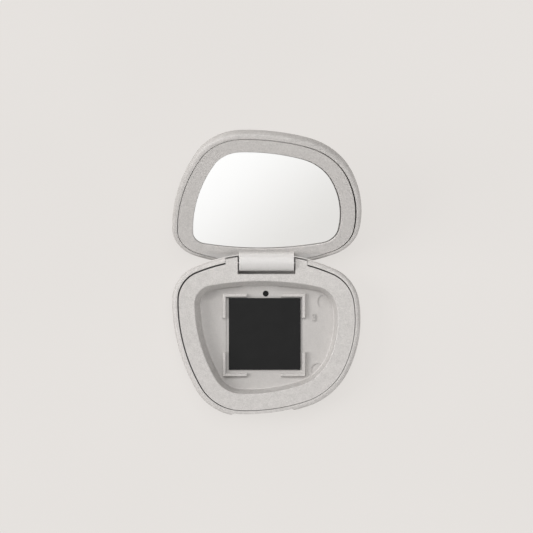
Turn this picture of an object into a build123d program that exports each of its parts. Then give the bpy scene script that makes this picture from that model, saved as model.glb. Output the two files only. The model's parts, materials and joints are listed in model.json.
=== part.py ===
from build123d import *
from math import radians, sqrt, tan
import os

# Mirror compact: a pebble-shaped base and lid on one hinge, shown open.
# Origin: centre of the base's underside. +Z up, +Y towards the hinge, +X to the right.
# The lid is modelled shut over the base and then swung open about the hinge pin.

# ---- case outline, inside the rims of both shells ----
outline_width = 66.9
outline_depth = 57.05
# Corner circles: distance of the centre from the nearer side edge and front or rear edge, radius
rear_left_corner = (11.35, 15.4, 11.35)
front_left_corner = (24.1, 17.85, 17.85)
front_right_corner = (26.3, 26.85, 24.6)
rear_right_corner = (14.1, 18.05, 13.7)
left_side_radius = 64.55
front_side_radius = 72.85
right_side_radius = 42.45
rear_side_radius = 65.95

# ---- shells ----
rim_width = 1.9
rim_round = 1.5
base_height = 10.0
base_floor = 1.6
underside_radius = 3.5
lid_height = 7.0
lid_top_wall = 1.6
lid_top_radius = 5.3
lid_cavity_radius = 3.7
groove = 0.38
shut_gap = 0.15

# ---- thumb notch in the front of the base rim ----
notch_centre_x = -1.3
notch_width = 21.5
notch_depth = 0.7
notch_end_run = 2.5
notch_end_radius = 0.8

# ---- openings for the well and the mirror: set in from the case outline by a border ----
# The lift moves the two rear corners back, and the ease adds to their radius.
opening_rear_radius = 110.0
well_border = 6.45
well_rear_lift = 0.6
well_rear_ease = 2.2
mirror_border = 5.85
mirror_rear_lift = 1.05
mirror_rear_ease = 0.0

# ---- base liner, set a little off centre in its shell ----
liner_shift = (0.13, -0.16)
deck = 1.5
liner_wall = 1.2
well_depth = 5.6
well_floor = 1.2
well_draft = 16.0
well_floor_shift = (0.4, -0.2)  # the drafted walls are not equally steep all round
well_edge_round = 0.4
well_foot_round = 0.5
pad_side = 27.0
pad_thickness = 0.8
pad_sink = 0.3
pad_centre = (-0.6, 0.3)
rib_square = 31.2
rib_thickness = 1.2
rib_height = 1.3
rib_arm = 9.2
rib_centre = (-0.85, -0.15)
rib_top_round = 0.25
pry_hole_diameter = 2.25
pry_hole_x = -0.2
mark_diameter = 5.3
mark_sink = 0.35
mark_places = [(21.9, 12.4), (19.5, -13.5), (-13.9, -18.5), (-21.2, 15.8)]

# ---- hinge ----
opening_angle = 143.1
hinge_drop = 1.65
barrel_radius = 3.13
barrel_length = 20.6
barrel_inset = 0.36
barrel_end_gap = 0.55
barrel_fillet = 1.2
barrel_web_land = 0.3  # least flat left between the barrel's web and the mirror opening
ear_thickness = 4.5
ear_setback = 0.6
pin_diameter = 1.5
pin_press = 0.02
pin_running = 0.06
pin_end_gap = 0.2
pocket_front_gap = 1.0
pocket_under_gap = 0.42
swing_gap = 0.3
hinge_block_half = 20.5
seat_gap = 0.1

# ---- lid frame, set a little off centre in its shell, with mirror and tape ----
frame_shift = (-0.14, 0.0)
frame_depth = 2.9
frame_edge_round = 0.25
mirror_setback = 0.3
mirror_thickness = 1.3
mirror_clearance = 0.32
mirror_shift = (-0.22, -0.12)  # where the glass was stuck down inside its clearance
tape_thickness = 0.2
tape_inset = 1.2
cover_clearance = 0.2

# ---- magnets and weight plate ----
magnet_diameter = 4.0
magnet_thickness = 1.9
magnet_inset = 3.35
magnet_clearance = 0.03
magnet_skin = 0.7
magnet_boss_wall = 0.8
plate_width = 42.0
plate_depth = 34.0
plate_thickness = 1.4
plate_corner = 6.0
plate_post_diameter = 3.0
plate_post_spacing = 30.0
plate_clearance = 0.1

# ---- corner circles as (centre, radius), anticlockwise from the rear left ----
half_width = outline_width / 2
half_depth = outline_depth / 2


def corner_circle(corner, side, end):
    return (Vector(side * (half_width - corner[0]), end * (half_depth - corner[1])), corner[2])


CASE_CORNERS = [
    corner_circle(rear_left_corner, -1, 1),
    corner_circle(front_left_corner, -1, -1),
    corner_circle(front_right_corner, 1, -1),
    corner_circle(rear_right_corner, 1, 1),
]
CASE_SIDES = [left_side_radius, front_side_radius, right_side_radius, rear_side_radius]


def opening_corners(border, lift, ease):
    """The case corners set in by the border, with the two rear ones moved back and eased."""
    circles = []
    for centre, radius in CASE_CORNERS:
        if centre.Y > 0:
            inward = -ease if centre.X > 0 else ease
            circles.append((centre + Vector(inward, lift - ease), radius - border + ease))
        else:
            circles.append((centre, radius - border))
    return circles


def opening_sides(border):
    return [radius - border for radius in CASE_SIDES[:3]] + [opening_rear_radius]


WELL_CORNERS = opening_corners(well_border, well_rear_lift, well_rear_ease)
MIRROR_CORNERS = opening_corners(mirror_border, mirror_rear_lift, mirror_rear_ease)


def side_centre(start, end, radius):
    """Centre of the side arc that runs inside-tangent from one corner circle to the next."""
    (start_centre, start_radius), (end_centre, end_radius) = start, end
    span = end_centre - start_centre
    reach = radius - start_radius
    along = (reach**2 - (radius - end_radius) ** 2 + span.length**2) / (2 * span.length)
    across = sqrt(reach**2 - along**2)
    direction = span.normalized()
    inward = Vector(-direction.Y, direction.X)
    return start_centre + direction * along + inward * across


def arc_about(centre, start, end):
    """The short arc about a centre from start to end."""
    middle = ((start - centre) + (end - centre)).normalized() * (start - centre).length
    return Edge.make_three_point_arc(start, centre + middle, end)


def pebble(offset=0.0, corners=CASE_CORNERS, sides=CASE_SIDES):
    """Face bounded by four corner arcs and four long side arcs, moved outwards by offset."""
    count = len(corners)
    tangents = []
    for index in range(count):
        start, end = corners[index], corners[(index + 1) % count]
        middle = side_centre(start, end, sides[index])
        radius = sides[index] + offset
        leave = middle + (start[0] - middle).normalized() * radius
        arrive = middle + (end[0] - middle).normalized() * radius
        tangents.append((middle, leave, arrive))
    edges = []
    for index in range(count):
        middle, leave, arrive = tangents[index]
        edges.append(arc_about(middle, leave, arrive))
        next_leave = tangents[(index + 1) % count][1]
        edges.append(arc_about(corners[(index + 1) % count][0], arrive, next_leave))
    return Face(Wire(edges))


def well_outline(offset=0.0):
    return pebble(offset, WELL_CORNERS, opening_sides(well_border))


def mirror_outline(offset=0.0):
    return pebble(offset, MIRROR_CORNERS, opening_sides(mirror_border))


def prism(face, bottom, top):
    """A face drawn at z = 0, extruded straight up from bottom to top."""
    return Pos(0, 0, bottom) * extrude(face, top - bottom)


def block(x0, x1, y0, y1, z0, z1):
    return Pos((x0 + x1) / 2, (y0 + y1) / 2, (z0 + z1) / 2) * Box(x1 - x0, y1 - y0, z1 - z0)


def rod(radius, length, y, z):
    """A cylinder along X, centred on x = 0."""
    return Pos(0, y, z) * Rot(0, 90, 0) * Cylinder(radius, length)


def top_edges(solid):
    return solid.faces().sort_by(Axis.Z)[-1].edges()


def bottom_edges(solid):
    return solid.faces().sort_by(Axis.Z)[0].edges()


def edges_on(solid, outline, height):
    """The solid's edges that follow an outline drawn at the given height."""
    line = (Pos(0, 0, height) * outline).outer_wire()
    return [edge for edge in solid.edges() if line.distance_to(edge @ 0.3) < 0.001
            and line.distance_to(edge @ 0.7) < 0.001]


def rear_y(corners, radius):
    """How far back the rear side of an outline reaches."""
    return side_centre(corners[3], corners[0], radius).Y + radius


# ---- places worked out from the driving sizes ----
rear_line = rear_y(CASE_CORNERS, rear_side_radius)
well_rear = rear_y(WELL_CORNERS, opening_rear_radius)
mirror_rear = rear_y(MIRROR_CORNERS, opening_rear_radius)
hinge_y = rear_line + rim_width - barrel_radius - barrel_inset
hinge_z = base_height - hinge_drop
hinge_axis = Axis((0, hinge_y, hinge_z), (1, 0, 0))
ear_inner = barrel_length / 2 + barrel_end_gap
ear_outer = ear_inner + ear_thickness
pocket_front = hinge_y - barrel_radius - pocket_front_gap
pocket_floor = hinge_z - barrel_radius - pocket_under_gap
face_z = base_height + shut_gap
lid_top = face_z + lid_height
floor_z = base_height - well_depth
web_room = hinge_y - mirror_rear - barrel_web_land
web_rise = face_z - hinge_z
web_limit = (web_room ** 2 + web_rise ** 2 - barrel_radius ** 2) / (2 * (barrel_radius + web_rise))
web_radius = min(barrel_fillet, web_limit)
well_draft_inset = well_depth * tan(radians(well_draft))
well_foot_inset = well_draft_inset + well_foot_round
far = outline_width


def swing_open(solid):
    return solid.rotate(hinge_axis, -opening_angle)


def front_magnet_place():
    """Point just inside the front rim, where base and lid magnets face each other."""
    centre, radius = CASE_CORNERS[1]
    return Pos(centre.X, centre.Y - (radius - magnet_inset), 0)


def base_shell():
    shell = prism(pebble(rim_width), 0, base_height)
    shell = fillet(bottom_edges(shell), underside_radius)
    shell = fillet(top_edges(shell), rim_round)
    shell -= prism(pebble(), base_floor, base_height + 1)
    half = ear_outer + seat_gap
    shell -= block(-half, half, hinge_y - barrel_radius, far, pocket_floor, far)
    shell -= thumb_notch()
    post = prism(Circle(plate_post_diameter / 2).face(), base_floor / 2, base_floor + plate_thickness)
    for side in (-1, 1):
        shell += Pos(side * plate_post_spacing / 2, 0, 0) * post
    return shell


def front_y(x, offset):
    """Where the front of the outline, moved outwards by offset, crosses this x."""
    inside = Line((x, 0), (x, -outline_depth)) & pebble(offset)
    return inside.vertices().sort_by(Axis.Y)[0].Y


def thumb_notch():
    """A shallow recess down the front of the shell, with sloping ends that are rounded inside."""
    inner = rim_width - notch_depth
    ring = prism(pebble(rim_width + 3) - pebble(inner), -1, base_height + 1)
    left, right = notch_centre_x - notch_width / 2, notch_centre_x + notch_width / 2
    left_y, right_y = front_y(left, inner), front_y(right, inner)
    out_y = left_y - rim_width - 3
    sides = Polyline(
        (left, 0), (left, left_y), (left - (left_y - out_y) * notch_end_run, out_y),
        (right + (right_y - out_y) * notch_end_run, out_y), (right, right_y), (right, 0),
        close=True,
    )
    notch = ring & prism(make_face(sides), -1, base_height + 1)
    return fillet(inner_corners(notch), notch_end_radius)


def inner_corners(notch):
    """The notch's upright edges on the side towards the well."""
    line = pebble(rim_width - notch_depth).outer_wire()
    return [edge for edge in notch.edges().filter_by(Axis.Z)
            if line.distance_to(Vector((edge @ 0.5).X, (edge @ 0.5).Y)) < 0.01]


def liner_outline():
    return Pos(*liner_shift) * pebble(-groove)


def base_liner():
    inside = Pos(*liner_shift) * pebble(-groove - liner_wall)
    liner = prism(liner_outline() - inside, base_floor, base_height)
    liner += prism(liner_outline(), base_height - deck, base_height)
    liner += prism(well_outline(liner_wall), floor_z - well_floor, base_height)
    liner += hinge_mount()
    liner -= block(-ear_inner, ear_inner, pocket_front, far, pocket_floor, far)
    boss_radius = magnet_diameter / 2 + magnet_clearance + magnet_boss_wall
    boss_depth = magnet_skin + magnet_thickness
    place = front_magnet_place()
    liner += place * prism(Circle(boss_radius).face(), base_height - boss_depth, base_height)
    liner -= well_cut()
    liner -= prism(Circle(magnet_diameter / 2 + magnet_clearance).face(), 0, magnet_thickness).moved(
        place * Pos(0, 0, base_height - boss_depth)
    )
    liner += pan_ribs()
    seat = rib_square - 2 * rib_thickness
    liner -= Pos(*rib_centre, floor_z) * Box(seat, seat, 2 * pad_sink)
    hole_y = rib_centre[1] + rib_square / 2
    liner -= Pos(pry_hole_x, hole_y, floor_z) * Cylinder(pry_hole_diameter / 2, 4 * well_floor)
    for x, y in mark_places:
        disc = Pos(x, y, floor_z) * Cylinder(mark_diameter / 2, 2 * mark_sink)
        liner -= disc & prism(Pos(*well_floor_shift) * well_outline(-well_foot_inset), 0, base_height)
    liner -= pin_bore()
    return fillet(edges_on(liner, well_outline(), base_height), well_edge_round)


def pin_bore():
    """Blind in the left ear, open to the right, where the pin goes in before the shell is fitted."""
    bore = rod(pin_diameter / 2 + pin_press, 2 * far, hinge_y, hinge_z)
    return bore & block(pin_end_gap - ear_outer, far, 0, far, 0, far)


def well_cut():
    """The well: drafted walls, a rounded foot and a rounded top edge."""
    foot = Pos(*well_floor_shift, floor_z) * well_outline(-well_draft_inset)
    mouth = Pos(0, 0, base_height) * well_outline()
    well = loft([foot, mouth])
    well = fillet(bottom_edges(well), well_foot_round)
    return well + prism(well_outline(), base_height, base_height + 1)


def hinge_mount():
    """The solid behind the well that carries the two ears."""
    inside = block(-ear_outer, ear_outer, well_rear - well_border, far, 0, far)
    mount = inside & prism(liner_outline(), floor_z - well_floor, base_height)
    ears = block(-ear_outer, ear_outer, hinge_y - barrel_radius, far, 0, far)
    return mount + (ears & prism(pebble(rim_width - ear_setback), pocket_floor + seat_gap, base_height))


def pan_ribs():
    """Four L-shaped ribs at the corners of the square pan seat."""
    outer, inner = rib_square / 2, rib_square / 2 - rib_thickness
    ring = Box(2 * outer, 2 * outer, rib_height) - Box(2 * inner, 2 * inner, rib_height)
    gap = rib_square - 2 * rib_arm
    ring -= Box(gap, far, rib_height) + Box(far, gap, rib_height)
    ring = fillet(ring.faces().filter_by(Axis.Z).sort_by(Axis.Z)[-4:].edges(), rib_top_round)
    return Pos(*rib_centre, floor_z + rib_height / 2) * ring


def pan_pad():
    return Pos(*pad_centre, floor_z - pad_sink + pad_thickness / 2) * Box(
        pad_side, pad_side, pad_thickness
    )


def weight_plate():
    plate = extrude(RectangleRounded(plate_width, plate_depth, plate_corner), plate_thickness)
    for side in (-1, 1):
        hole = Cylinder(plate_post_diameter / 2 + plate_clearance, 4 * plate_thickness)
        plate -= Pos(side * plate_post_spacing / 2, 0, 0) * hole
    return Pos(0, 0, base_floor) * plate


def hinge_pin():
    return rod(pin_diameter / 2, 2 * (ear_outer - pin_end_gap), hinge_y, hinge_z)


def magnet(bottom):
    disc = prism(Circle(magnet_diameter / 2).face(), bottom, bottom + magnet_thickness)
    return front_magnet_place() * disc


def base_magnet():
    return magnet(base_height - magnet_skin - magnet_thickness)


def lid_magnet():
    return swing_open(magnet(face_z + magnet_skin))


def base_space():
    """What the open lid must stay clear of: the base, its ears and its back, and a little more."""
    swept = prism(pebble(rim_width + swing_gap), -base_height, base_height + swing_gap)
    return swept.rotate(hinge_axis, opening_angle)


def lid_shell():
    shell = prism(pebble(rim_width), face_z, lid_top)
    shell = fillet(top_edges(shell), lid_top_radius)
    shell = fillet(bottom_edges(shell), rim_round)
    shell -= lid_cavity(0.0, 0.0)
    return swing_open(shell - base_space())


def lid_cavity(inset, headroom):
    """The hollow of the lid cover, or with an inset and headroom a solid that fits in it."""
    top = lid_top - lid_top_wall - headroom
    bottom = face_z if inset else face_z - 1
    hollow = prism(pebble(-inset), bottom, top)
    return fillet(top_edges(hollow), lid_cavity_radius - inset)


def lid_frame():
    frame = prism(Pos(*frame_shift) * pebble(-groove), face_z, face_z + frame_depth)
    mount = block(-hinge_block_half, hinge_block_half, mirror_rear + 1, far, face_z, far)
    frame += mount & lid_cavity(groove, cover_clearance)
    frame -= hinge_relief()
    frame += rod(barrel_radius, barrel_length, hinge_y, hinge_z)
    frame += barrel_web()
    recess = mirror_setback + mirror_thickness + tape_thickness
    frame -= prism(mirror_outline(), face_z - 1, face_z + recess)
    frame -= rod(pin_diameter / 2 + pin_running, 2 * barrel_length, hinge_y, hinge_z)
    socket = Circle(magnet_diameter / 2 + magnet_clearance).face()
    frame -= front_magnet_place() * prism(socket, face_z + magnet_skin, face_z + far)
    frame = fillet(edges_on(frame, mirror_outline(), face_z), frame_edge_round)
    return swing_open(frame)


def barrel_web():
    """The concave web that runs the front of the barrel into the frame's face."""
    centre_z = face_z - web_radius
    reach = sqrt((barrel_radius + web_radius) ** 2 - (centre_z - hinge_z) ** 2)
    centre_y = hinge_y - reach
    profile = Polyline(
        (hinge_y, hinge_z), (hinge_y, face_z), (centre_y, face_z), (centre_y, centre_z), close=True
    )
    web = extrude(make_face(Plane.YZ * profile), barrel_length / 2, both=True)
    return web - rod(web_radius, far, centre_y, centre_z)


def hinge_relief():
    """Clearance round the base when open, less the room that the barrel has in its pocket."""
    half = barrel_length / 2
    pocket = block(-half, half, 0, far, pocket_floor + swing_gap, far)
    return base_space() - pocket.rotate(hinge_axis, opening_angle)


def mirror():
    bottom = face_z + mirror_setback
    plate = Pos(*mirror_shift) * mirror_outline(-mirror_clearance)
    return swing_open(prism(plate, bottom, bottom + mirror_thickness))


def mirror_tape():
    bottom = face_z + mirror_setback + mirror_thickness
    sheet = Pos(*mirror_shift) * mirror_outline(-tape_inset)
    return swing_open(prism(sheet, bottom, bottom + tape_thickness))


PIECES = [
    base_shell,
    base_liner,
    pan_pad,
    weight_plate,
    base_magnet,
    hinge_pin,
    lid_shell,
    lid_frame,
    mirror,
    mirror_tape,
    lid_magnet,
]

if __name__ == "__main__":
    os.makedirs("parts", exist_ok=True)
    for piece in PIECES:
        export_step(piece(), f"parts/{piece.__name__}.step")
    print("hinge axis at", round(hinge_y, 4), round(hinge_z, 4))
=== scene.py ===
"""Mirror compact: the finish of every surface, the pan pad, the cavity number and the studio."""

import json
from math import atan2, radians

import bmesh
import bpy
from mathutils import Matrix, Vector


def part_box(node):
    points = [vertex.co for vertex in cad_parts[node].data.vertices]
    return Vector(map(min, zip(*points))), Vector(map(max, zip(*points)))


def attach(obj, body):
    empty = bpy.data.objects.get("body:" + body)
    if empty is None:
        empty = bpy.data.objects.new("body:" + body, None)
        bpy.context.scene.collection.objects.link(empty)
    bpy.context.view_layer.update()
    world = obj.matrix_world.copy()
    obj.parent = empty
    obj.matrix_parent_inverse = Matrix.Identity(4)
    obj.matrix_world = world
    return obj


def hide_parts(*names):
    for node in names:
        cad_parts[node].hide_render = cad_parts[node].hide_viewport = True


bl_info = {
    "name": "Mirror Compact",
    "version": (1, 0, 0),
    "blender": (4, 5, 0),
    "location": "View3D > Sidebar > Compact",
    "description": "Finishes an open mirror compact with one empty pan seat",
    "category": "Object",
}

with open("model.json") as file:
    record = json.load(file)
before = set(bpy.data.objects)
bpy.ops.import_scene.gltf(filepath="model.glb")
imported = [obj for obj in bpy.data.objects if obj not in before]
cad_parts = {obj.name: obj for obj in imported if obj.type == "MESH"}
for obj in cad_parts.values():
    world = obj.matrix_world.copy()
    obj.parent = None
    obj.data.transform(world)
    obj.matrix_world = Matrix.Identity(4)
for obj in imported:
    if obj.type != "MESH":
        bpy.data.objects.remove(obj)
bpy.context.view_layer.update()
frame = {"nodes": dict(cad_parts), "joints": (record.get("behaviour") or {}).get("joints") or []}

MM = 0.001
SHELLS = ("base_shell", "lid_shell")
METAL_NODES = ("hinge_pin", "base_magnet", "lid_magnet")
HINGE_AXIS = frame["joints"][0]["pos_m"]
BARREL_RADIUS = 3.13 * MM
PAD_SINK = 0.3 * MM  # how deep the sheet of the pan seat is let into the floor of the well
FLOOR_GAP = 0.05 * MM  # keeps the studio floor clear of the underside
DIGIT_SHARE = 0.7  # height of a digit as a share of its font's size

# Azimuth from +X, elevation and spread of each light in degrees
LIGHTS = {
    "key": (172.0, 33.0, 36.0),
    "top": (92.0, 66.0, 48.0),
    "front": (300.0, 12.0, 30.0),
    "side": (352.0, 13.0, 30.0),
}

# The way to a bright field of the room, and the cosines where its soft edge starts and ends
WINDOW_FIELD = ((-0.615, 0.0, 0.788), 0.2065, 0.2425)
WALL_FIELD = ((0.0, -0.957, 0.29), 0.88, 0.94)


# ---------------------------------------------------------------- settings


def length(name, description, default, low=0.0, high=10.0):
    """A size in metres."""
    return bpy.props.FloatProperty(
        name=name, description=description, default=default, min=low, max=high,
        subtype="DISTANCE", unit="LENGTH", precision=5,
    )


def colour(name, description, default):
    """A linear colour."""
    return bpy.props.FloatVectorProperty(
        name=name, description=description, default=default, size=3, min=0.0, max=1.0,
        subtype="COLOR",
    )


def share(name, description, default, high=1.0):
    """A plain number without a unit."""
    return bpy.props.FloatProperty(
        name=name, description=description, default=default, min=0.0, max=high, precision=4
    )


class PlasticSettings(bpy.types.PropertyGroup):
    """The pale moulded plastic of the case."""

    tone: colour("Tone", "Lightest colour of the case plastic", (0.538, 0.514, 0.494))
    dark_tone: colour("Mottle", "Darkest colour of the mottled grain", (0.378, 0.361, 0.346))
    cloud_size: length("Cloud size", "Width of the soft clouds in the colour", 2.6 * MM)
    cloud_weight: share("Cloud weight", "Share of the clouds in the mottle", 0.2)
    grain_size: length("Grain size", "Width of the mottled grain in the colour", 0.95 * MM)
    grain_weight: share("Grain weight", "Share of the grain in the mottle", 0.25)
    fine_size: length("Fine grain size", "Width of the fine moulded grain", 0.42 * MM)
    fine_weight: share("Fine grain weight", "Share of the fine grain in the mottle", 0.55)
    grain_depth: length("Grain depth", "Height of the fine moulded grain", 0.012 * MM)
    roughness: share("Roughness", "How matte the plastic is", 0.5)
    roughness_spread: share("Roughness spread", "How far the grain varies the roughness", 0.06)
    # Also how far the painted shade and the painted highlight cover the smooth parts.
    smooth_painted_light_share: share("Smooth share", "How far the smooth parts lose their mottle", 0.7)
    # Painted shade: the well floor loses its mottle, as its smoother plastic really does, and
    # takes this darker colour, which stands in for the shade deep in the well.
    well_painted_shade_tone: colour("Well", "Colour of the smoother well floor", (0.405, 0.386, 0.371))
    well_line: length("Well line", "Height where the rougher wall begins", 6.0 * MM)
    well_fade: length("Well fade", "Height over which the smooth floor fades out", 1.2 * MM)
    # Painted highlight: the hinge barrel loses its mottle, as its smoother plastic really does,
    # and takes this lighter colour, which stands in for the shine of the light on it.
    barrel_painted_highlight_tone: colour("Barrel", "Colour of the smoother hinge barrel", (0.540, 0.526, 0.515))
    barrel_start: length("Barrel edge", "Distance off the barrel where it fades", 0.1 * MM)
    barrel_end: length("Barrel end", "Distance off the barrel where it has faded", 0.5 * MM)
    speck_tone: colour("Specks", "Colour of the rare dark specks", (0.20, 0.18, 0.17))
    speck_strength: share("Speck strength", "How strongly a speck covers the plastic", 0.7)
    speck_spacing: length("Speck spacing", "Distance between the places of specks", 2.4 * MM)
    speck_radius: share("Speck radius", "Radius of a speck as a share of the spacing", 0.06)
    speck_rarity: share("Speck rarity", "Share of the places that stay without a speck", 0.945)


class MirrorSettings(bpy.types.PropertyGroup):
    """The silvered glass and the tape behind it."""

    tint: colour("Tint", "Colour of the reflection", (0.955, 0.955, 0.95))
    roughness: share("Roughness", "Blur of the reflection", 0.03)
    haze_size: length("Haze size", "Width of the faint haze on the glass", 9.0 * MM)
    tape_tone: colour("Tape", "Lightest colour of the tape", (0.80, 0.80, 0.78))
    tape_dark: colour("Tape fibre", "Darkest colour of the tape", (0.72, 0.72, 0.70))
    fibre_size: length("Fibre size", "Width of the fibres of the tape", 0.5 * MM)


class SteelSettings(bpy.types.PropertyGroup):
    """The hidden pieces of steel."""

    tone: colour("Tone", "Colour of the pin and the magnets", (0.17, 0.165, 0.16))
    line_size: length("Line size", "Width of the turned lines", 0.12 * MM)
    plate_tone: colour("Plate", "Darkest colour of the weight plate", (0.005, 0.005, 0.005))
    plate_light: colour("Plate cloud", "Lightest colour of that plate", (0.012, 0.012, 0.012))
    cloud_size: length("Cloud size", "Width of the clouds on the plate", 3.0 * MM)


class PadSettings(bpy.types.PropertyGroup):
    """The black sheet in the pan seat."""

    tone: colour("Tone", "Colour of the black sheet", (0.0085, 0.0085, 0.0085))
    cloud_gain: share("Cloud gain", "How many times lighter its soft clouds are", 1.18, 10.0)
    cloud_size: length("Cloud size", "Width of the soft clouds in the colour", 5.0 * MM)
    grain_size: length("Grain size", "Width of the fine surface grain", 0.22 * MM)
    grain_depth: length("Grain depth", "Height of the fine surface grain", 0.02 * MM)
    roughness: share("Roughness", "How matte the sheet is", 0.82)
    edge_round: length("Edge round", "Radius of the cut edges", 0.18 * MM)


class NumberSettings(bpy.types.PropertyGroup):
    """The raised cavity number on the floor of the well."""

    # Painted shade: this darker colour stands in for the shade along the digit's raised strokes.
    tone: colour("Tone", "Colour of the digit, darkened by handling", (0.285, 0.270, 0.258))
    text: bpy.props.StringProperty(name="Number", description="Plain cavity number", default="3")
    height: length("Height", "Height of the digit", 2.6 * MM)
    relief: length("Relief", "How far the digit stands up", 0.35 * MM)
    stroke: length("Stroke", "How much bolder the strokes are than the font's", 0.06 * MM)
    place: bpy.props.FloatVectorProperty(
        name="Place", description="Centre of the digit, seen from above", size=2,
        default=(18.0 * MM, 6.25 * MM), subtype="XYZ", unit="LENGTH",
    )


class StudioSettings(bpy.types.PropertyGroup):
    """Floor, light and camera."""

    floor_tone: colour("Floor", "Colour of the floor", (0.776, 0.748, 0.722))
    floor_glow: share("Floor glow", "Share of the floor that no shadow can darken", 0.9)
    floor_size: length("Floor size", "Width of the floor", 40.0, high=100.0)
    floor_cloud: length("Floor cloud size", "Width of the soft clouds on the floor", 0.08)
    camera_height: length("Camera height", "Lens height over the rim of the base", 1.4)
    camera_x: length("Camera side", "Lens position to the right", -20.0 * MM, -1.0)
    camera_y: length("Camera forward", "Lens position towards the hinge", 25.66 * MM)
    view_width: length("View width", "Width seen at the rim of the base", 199.9 * MM)
    key_light: share("Key light", "Strength of the soft light from the left", 2.55, 20.0)
    top_light: share("Top light", "Strength of the soft light from above", 1.98, 20.0)
    front_light: share("Front light", "Strength of the low soft light from the front", 1.08, 20.0)
    side_light: share("Side light", "Strength of the low soft light from the right", 0.36, 20.0)
    ambient: share("Ambient", "Light that the room gives all round", 0.05, 10.0)
    room: share("Room", "Brightness of the room in a reflection", 0.5, 10.0)
    window: share("Window", "Brightness of the window that the mirror faces", 1.05, 10.0)
    wall_tone: colour("Wall", "Colour of the wall beside that window", (0.79, 0.777, 0.757))


GROUPS = {
    "plastic": PlasticSettings,
    "mirror": MirrorSettings,
    "steel": SteelSettings,
    "pad": PadSettings,
    "number": NumberSettings,
    "studio": StudioSettings,
}


class CompactSettings(bpy.types.PropertyGroup):
    """All settings of the compact."""

    __annotations__ = {
        key: bpy.props.PointerProperty(type=group, name=key.title())
        for key, group in GROUPS.items()
    }


def settings():
    """The settings as the user has left them."""
    return bpy.context.scene.compact


# ---------------------------------------------------------------- materials


class Nodes:
    """A short way to write a node tree."""

    def __init__(self, tree):
        self.tree = tree
        self.coordinates = self.add("TexCoord").outputs
        self.place = self.coordinates["Object"]

    def add(self, kind, inputs=None, **values):
        """A new node, with its settings and what goes into its sockets."""
        node = self.tree.nodes.new("ShaderNode" + kind)
        for key, value in values.items():
            setattr(node, key, value)
        for socket, value in (inputs or {}).items():
            self.join(value, node.inputs[socket])
        return node

    def join(self, value, socket):
        """Links another node's output to a socket, or sets the socket's own value."""
        if isinstance(value, bpy.types.NodeSocket):
            self.tree.links.new(value, socket)
        else:
            socket.default_value = value

    def noise(self, size, detail=2.0, roughness=0.5):
        """Soft patches about as wide as a size."""
        inputs = {"Vector": self.place, "Scale": 1.0 / size}
        inputs.update({"Detail": detail, "Roughness": roughness})
        return self.add("TexNoise", inputs).outputs["Fac"]

    def ramp(self, value, low, high, start=0.0, end=1.0, shape="LINEAR"):
        """Start at or below low, end at or above high."""
        inputs = {"Value": value, "From Min": low, "From Max": high}
        inputs.update({"To Min": start, "To Max": end})
        return self.add("MapRange", inputs, interpolation_type=shape).outputs["Result"]

    def patches(self, size, detail=2.0, roughness=0.5, reach=0.2, start=0.0, end=1.0):
        """Noise stretched from its middle, the more the smaller the reach is."""
        noise = self.noise(size, detail, roughness)
        return self.ramp(noise, 0.5 - reach, 0.5 + reach, start, end)

    def mix(self, factor, first, second):
        """A colour between two: the node's sockets for colours go by number."""
        node = self.add("Mix", data_type="RGBA")
        self.join(factor, node.inputs[0])
        self.join(first, node.inputs[6])
        self.join(second, node.inputs[7])
        return node.outputs[2]

    def weigh(self, *parts):
        """The sum of some values, each times its weight."""
        total = 0.0
        for value, weight in parts:
            node = self.add("Math", {0: value, 1: weight, 2: total}, operation="MULTIPLY_ADD")
            total = node.outputs["Value"]
        return total

    def bump(self, height, distance):
        """The normal of a surface that a pattern raises by a distance."""
        return self.add("Bump", {"Height": height, "Distance": distance}).outputs["Normal"]


class Material(Nodes):
    """The node tree of one new material."""

    def __init__(self, name):
        self.material = bpy.data.materials.new(name)
        self.material.use_nodes = True
        super().__init__(self.material.node_tree)

    def finish(self, **inputs):
        """The material, once the shader's named sockets are filled."""
        shader = self.tree.nodes["Principled BSDF"]
        for socket, value in inputs.items():
            self.join(value, shader.inputs[socket.replace("_", " ")])
        return self.material


def rgba(tone, gain=1.0):
    """A colour with its opacity, made lighter or darker by a gain."""
    return (*(gain * part for part in tone), 1.0)


def smooth_painted_shade_floor(nodes, look):
    """1 on the floor of the well, 0 from the walls up: there the plastic is smoother and painted
    shade darkens it.
    """
    height = nodes.add("SeparateXYZ", {"Vector": nodes.place}).outputs["Z"]
    return nodes.ramp(height, look.well_line - look.well_fade, look.well_line, 1.0, 0.0)


def smooth_painted_highlight_barrel(nodes, look):
    """1 on the round barrel about the hinge axis, 0 away from it: there the plastic is smoother
    and a painted highlight lightens it.
    """
    across = nodes.add("VectorMath", {0: nodes.place, 1: (0.0, 1.0, 1.0)}, operation="MULTIPLY")
    inputs = {0: across.outputs["Vector"], 1: HINGE_AXIS}
    reach = nodes.add("VectorMath", inputs, operation="DISTANCE").outputs["Value"]
    start, end = BARREL_RADIUS + look.barrel_start, BARREL_RADIUS + look.barrel_end
    return nodes.ramp(reach, start, end, 1.0, 0.0)


def rare_specks(nodes, look):
    """Above 0 only inside the few small round specks."""
    cells = nodes.add("TexVoronoi", {"Vector": nodes.place, "Scale": 1.0 / look.speck_spacing})
    edge = look.speck_radius / 4
    start, end = look.speck_radius - edge, look.speck_radius + edge
    near = nodes.ramp(cells.outputs["Distance"], start, end, look.speck_strength, 0.0)
    chance = nodes.add("SeparateColor", {"Color": cells.outputs["Color"]}).outputs["Red"]
    rare = nodes.ramp(chance, look.speck_rarity - 0.005, look.speck_rarity + 0.005)
    return nodes.add("Math", {0: near, 1: rare}, operation="MULTIPLY").outputs["Value"]


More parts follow.
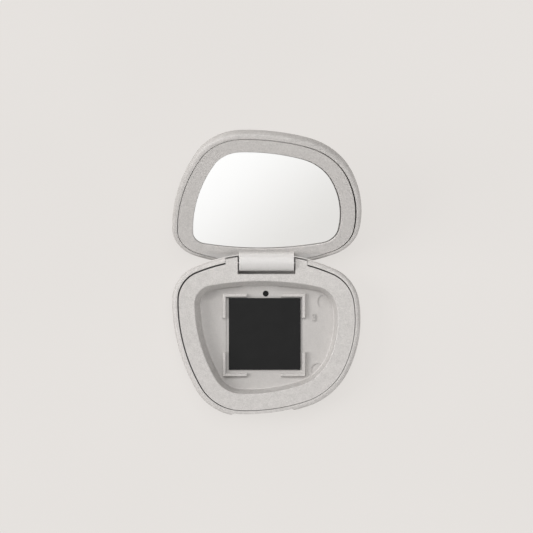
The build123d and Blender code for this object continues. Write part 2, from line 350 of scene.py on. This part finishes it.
def moulded_plastic(name, smooth_painted_light_part=None, smooth_painted_light_tone=None):
    """Pale matte plastic with soft clouds, two sizes of grain and a few dark specks."""
    look = settings().plastic
    nodes = Material(name)
    clouds = nodes.patches(look.cloud_size, 4.0, 0.6, reach=0.14)
    grain = nodes.patches(look.grain_size, 3.0, 0.6, reach=0.16)
    fine = nodes.patches(look.fine_size, reach=0.16)
    level = nodes.weigh(
        (clouds, look.cloud_weight), (grain, look.grain_weight), (fine, look.fine_weight)
    )
    tone = nodes.mix(level, rgba(look.dark_tone), rgba(look.tone))
    # Where a part is smoother, its mottle gives way to one colour that also holds painted light:
    # shade on the well floor, a highlight on the barrel.
    if smooth_painted_light_part:
        smooth = nodes.weigh((smooth_painted_light_part(nodes, look), look.smooth_painted_light_share))
        tone = nodes.mix(smooth, tone, rgba(smooth_painted_light_tone))
    tone = nodes.mix(rare_specks(nodes, look), tone, rgba(look.speck_tone))
    roughest = look.roughness + look.roughness_spread
    rough = nodes.ramp(grain, 0.0, 1.0, roughest, look.roughness - look.roughness_spread)
    normal = nodes.bump(fine, look.grain_depth)
    return nodes.finish(Base_Color=tone, Roughness=rough, Normal=normal)


def worn_digit():
    """The same plastic, darkened as painted shade that stands in for the shade along the raised
    strokes.
    """
    look = settings()
    nodes = Material("worn_digit")
    digit_mottle = nodes.patches(look.plastic.fine_size)
    tone = nodes.mix(digit_mottle, rgba(look.number.tone), rgba(look.plastic.dark_tone))
    return nodes.finish(Base_Color=tone, Roughness=look.plastic.roughness)


def silvered_glass():
    """A mirror's silver with a faint haze."""
    look = settings().mirror
    nodes = Material("silvered_glass")
    noise = nodes.noise(look.haze_size)
    haze = nodes.ramp(noise, 0.35, 0.7, 0.7 * look.roughness, 1.4 * look.roughness)
    return nodes.finish(Base_Color=rgba(look.tint), Metallic=1.0, Roughness=haze)


def white_tape():
    """White tape with short fibres."""
    look = settings().mirror
    nodes = Material("white_tape")
    fibre = nodes.noise(look.fibre_size, 3.0)
    tone = nodes.mix(fibre, rgba(look.tape_dark), rgba(look.tape_tone))
    return nodes.finish(Base_Color=tone, Roughness=0.8)


def turned_steel():
    """Bare steel with fine turned lines."""
    look = settings().steel
    nodes = Material("turned_steel")
    rough = nodes.patches(look.line_size, start=0.34, end=0.46)
    return nodes.finish(Base_Color=rgba(look.tone), Metallic=1.0, Roughness=rough)


def blackened_steel():
    """Plate steel, nearly black, darker and lighter in soft clouds."""
    look = settings().steel
    nodes = Material("blackened_steel")
    clouds = nodes.noise(look.cloud_size, 3.0)
    tone = nodes.mix(clouds, rgba(look.plate_tone), rgba(look.plate_light))
    return nodes.finish(Base_Color=tone, Roughness=0.7, Specular_IOR_Level=0.3)


def black_sheet():
    """Dull black sheet with a fine grain and faint clouds."""
    look = settings().pad
    nodes = Material("black_sheet")
    clouds = nodes.patches(look.cloud_size)
    tone = nodes.mix(clouds, rgba(look.tone), rgba(look.tone, look.cloud_gain))
    normal = nodes.bump(nodes.noise(look.grain_size, 3.0, 0.6), look.grain_depth)
    return nodes.finish(
        Base_Color=tone, Roughness=look.roughness, Specular_IOR_Level=0.2, Normal=normal
    )


def dress(nodes, material):
    """Gives CAD nodes a material in place of their plain one."""
    for name in nodes:
        for slot in frame["nodes"][name].material_slots:
            slot.material = material


# ---------------------------------------------------------------- pieces


def new_piece(name, mesh, material, body):
    """A piece that rides on a body and takes the finish it is given."""
    piece = bpy.data.objects.new(name, mesh)
    bpy.context.scene.collection.objects.link(piece)
    mesh.materials.append(material)
    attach(piece, body)
    return piece


def node_box(name):
    """The lowest and the highest corner of a CAD node."""
    low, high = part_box(name)
    return Vector(low), Vector(high)


def well_floor():
    """Height of the well's floor, found from the sheet that is let into it."""
    return node_box("pan_pad")[0].z + PAD_SINK


class COMPACT_OT_case_plastic(bpy.types.Operator):
    """Give the shells, the liner and the lid frame their moulded plastic"""

    bl_idname = "compact.case_plastic"
    bl_label = "Case Plastic"

    def execute(self, context):
        look = settings().plastic
        dress(SHELLS, moulded_plastic("shell_plastic"))
        # The liner's well floor: smoother plastic with painted shade.
        dress(("base_liner",), moulded_plastic("liner_plastic", smooth_painted_shade_floor, look.well_painted_shade_tone))
        # The lid frame's hinge barrel: smoother plastic with a painted highlight.
        dress(("lid_frame",), moulded_plastic("frame_plastic", smooth_painted_highlight_barrel, look.barrel_painted_highlight_tone))
        return {"FINISHED"}


class COMPACT_OT_mirror(bpy.types.Operator):
    """Silver the mirror and whiten its tape"""

    bl_idname = "compact.mirror"
    bl_label = "Mirror"

    def execute(self, context):
        dress(("mirror",), silvered_glass())
        dress(("mirror_tape",), white_tape())
        return {"FINISHED"}


class COMPACT_OT_metal(bpy.types.Operator):
    """Give the hidden metal pieces their finishes"""

    bl_idname = "compact.metal"
    bl_label = "Metal Pieces"

    def execute(self, context):
        dress(METAL_NODES, turned_steel())
        dress(("weight_plate",), blackened_steel())
        return {"FINISHED"}


class COMPACT_OT_pan_pad(bpy.types.Operator):
    """Build the black sheet of the pan seat with its cut edges softened"""

    bl_idname = "compact.pan_pad"
    bl_label = "Pan Pad"

    def execute(self, context):
        low, high = node_box("pan_pad")
        size, centre = high - low, (high + low) / 2
        shape = bmesh.new()
        place = Matrix.Translation(centre) @ Matrix.Diagonal((*size, 1.0))
        bmesh.ops.create_cube(shape, size=1.0, matrix=place)
        bmesh.ops.bevel(
            shape, geom=shape.edges[:], offset=settings().pad.edge_round, segments=3,
            profile=0.5, affect="EDGES", material=-1,
        )
        mesh = bpy.data.meshes.new("pan_pad_sheet")
        shape.to_mesh(mesh)
        shape.free()
        piece = new_piece("pan_pad_sheet", mesh, black_sheet(), "base")
        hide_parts("pan_pad")
        return {"FINISHED"}


class COMPACT_OT_number(bpy.types.Operator):
    """Raise the plain cavity number on the floor of the well"""

    bl_idname = "compact.number"
    bl_label = "Cavity Number"

    def execute(self, context):
        look = settings().number
        curve = bpy.data.curves.new("cavity_number", "FONT")
        curve.body = look.text
        curve.size = look.height / DIGIT_SHARE
        curve.extrude = look.relief
        curve.offset = look.stroke
        curve.align_x = "CENTER"
        curve.align_y = "CENTER"
        text = bpy.data.objects.new("cavity_number_text", curve)
        mesh = bpy.data.meshes.new_from_object(text)
        bpy.data.objects.remove(text)
        mesh.transform(Matrix.Translation((*look.place, well_floor())))
        mesh.materials.clear()
        new_piece("cavity_number", mesh, worn_digit(), "base")
        return {"FINISHED"}


# ---------------------------------------------------------------- studio


def soft_light(name, strength, azimuth, elevation, spread):
    """A very large light, far off."""
    data = bpy.data.lights.new(name, "SUN")
    data.energy = strength
    data.angle = radians(spread)
    lamp = bpy.data.objects.new(name, data)
    bpy.context.scene.collection.objects.link(lamp)
    turn = Matrix.Rotation(radians(azimuth + 90.0), 4, "Z")
    lamp.matrix_world = turn @ Matrix.Rotation(radians(90.0 - elevation), 4, "X")


def soft_surround(look):
    """A dim room with a pale wall and a soft-edged white window where the mirror faces."""
    world = bpy.data.worlds.new("soft_surround")
    bpy.context.scene.world = world
    world.use_nodes = True
    nodes = Nodes(world.node_tree)

    def field(way, start, end):
        """0 to 1 as the light's direction nears a way."""
        inputs = {0: nodes.coordinates["Generated"], 1: way}
        turn = nodes.add("VectorMath", inputs, operation="DOT_PRODUCT").outputs["Value"]
        return nodes.ramp(turn, start, end, shape="SMOOTHSTEP")

    white = (1.0, 1.0, 1.0)
    wall = nodes.mix(field(*WINDOW_FIELD), rgba(look.wall_tone), rgba(white, look.window))
    gloss = nodes.add("LightPath").outputs["Is Glossy Ray"]
    rest = nodes.mix(gloss, rgba(white, look.ambient), rgba(white, look.room))
    background = world.node_tree.nodes["Background"].inputs
    nodes.join(nodes.mix(field(*WALL_FIELD), rest, wall), background["Color"])
    nodes.join(1.0, background["Strength"])


def pale_floor(look):
    """A wide matte floor, mostly lit by itself so that shadows on it stay faint."""
    shape = bmesh.new()
    place = Matrix.Translation((0.0, 0.0, -FLOOR_GAP))
    half = look.floor_size / 2
    bmesh.ops.create_grid(shape, x_segments=1, y_segments=1, size=half, matrix=place)
    mesh = bpy.data.meshes.new("floor")
    shape.to_mesh(mesh)
    shape.free()
    floor = bpy.data.objects.new("floor", mesh)
    bpy.context.scene.collection.objects.link(floor)
    nodes = Material("pale_floor")
    clouds = nodes.patches(look.floor_cloud)
    lit = 1.0 - look.floor_glow
    tone = nodes.mix(clouds, rgba(look.floor_tone, lit), rgba(look.floor_tone, 0.9 * lit))
    material = nodes.finish(
        Base_Color=tone, Roughness=0.9, Specular_IOR_Level=0.0,
        Emission_Color=rgba(look.floor_tone), Emission_Strength=look.floor_glow,
    )
    mesh.materials.append(material)


def overhead_camera(look):
    """A camera above the case, turned about the Y axis by its distance to the side."""
    data = bpy.data.cameras.new("camera")
    data.sensor_width = 36.0
    data.lens = data.sensor_width * look.camera_height / look.view_width
    data.clip_end = 20.0
    camera = bpy.data.objects.new("camera", data)
    bpy.context.scene.collection.objects.link(camera)
    rim = node_box("base_shell")[1].z
    camera.location = (look.camera_x, look.camera_y, rim + look.camera_height)
    camera.rotation_euler.y = atan2(look.camera_x, look.camera_height)
    bpy.context.scene.camera = camera


class COMPACT_OT_studio(bpy.types.Operator):
    """Lay the floor and set the light and the camera"""

    bl_idname = "compact.studio"
    bl_label = "Studio"

    def execute(self, context):
        look = settings().studio
        pale_floor(look)
        soft_surround(look)
        for name, angles in LIGHTS.items():
            soft_light(name, getattr(look, name + "_light"), *angles)
        overhead_camera(look)
        context.scene.view_settings.view_transform = "Standard"
        return {"FINISHED"}


class COMPACT_PT_panel(bpy.types.Panel):
    """The compact's pieces and settings"""

    bl_idname = "COMPACT_PT_panel"
    bl_label = "Mirror Compact"
    bl_space_type = "VIEW_3D"
    bl_region_type = "UI"
    bl_category = "Compact"

    def draw(self, context):
        for operator in OPERATORS:
            self.layout.operator(operator.bl_idname)
        for key, group in GROUPS.items():
            box = self.layout.box()
            box.label(text=key.title())
            for name in group.__annotations__:
                box.prop(getattr(context.scene.compact, key), name)


OPERATORS = (
    COMPACT_OT_studio,
    COMPACT_OT_case_plastic,
    COMPACT_OT_mirror,
    COMPACT_OT_metal,
    COMPACT_OT_pan_pad,
    COMPACT_OT_number,
)
CLASSES = (*GROUPS.values(), CompactSettings, *OPERATORS, COMPACT_PT_panel)


def register():
    for cls in CLASSES:
        bpy.utils.register_class(cls)
    bpy.types.Scene.compact = bpy.props.PointerProperty(type=CompactSettings)


def unregister():
    del bpy.types.Scene.compact
    for cls in reversed(CLASSES):
        bpy.utils.unregister_class(cls)


def main():
    register()
    bpy.ops.compact.studio()
    bpy.ops.compact.case_plastic()
    bpy.ops.compact.mirror()
    bpy.ops.compact.metal()
    bpy.ops.compact.pan_pad()
    bpy.ops.compact.number()


if __name__ == "__main__":
    main()
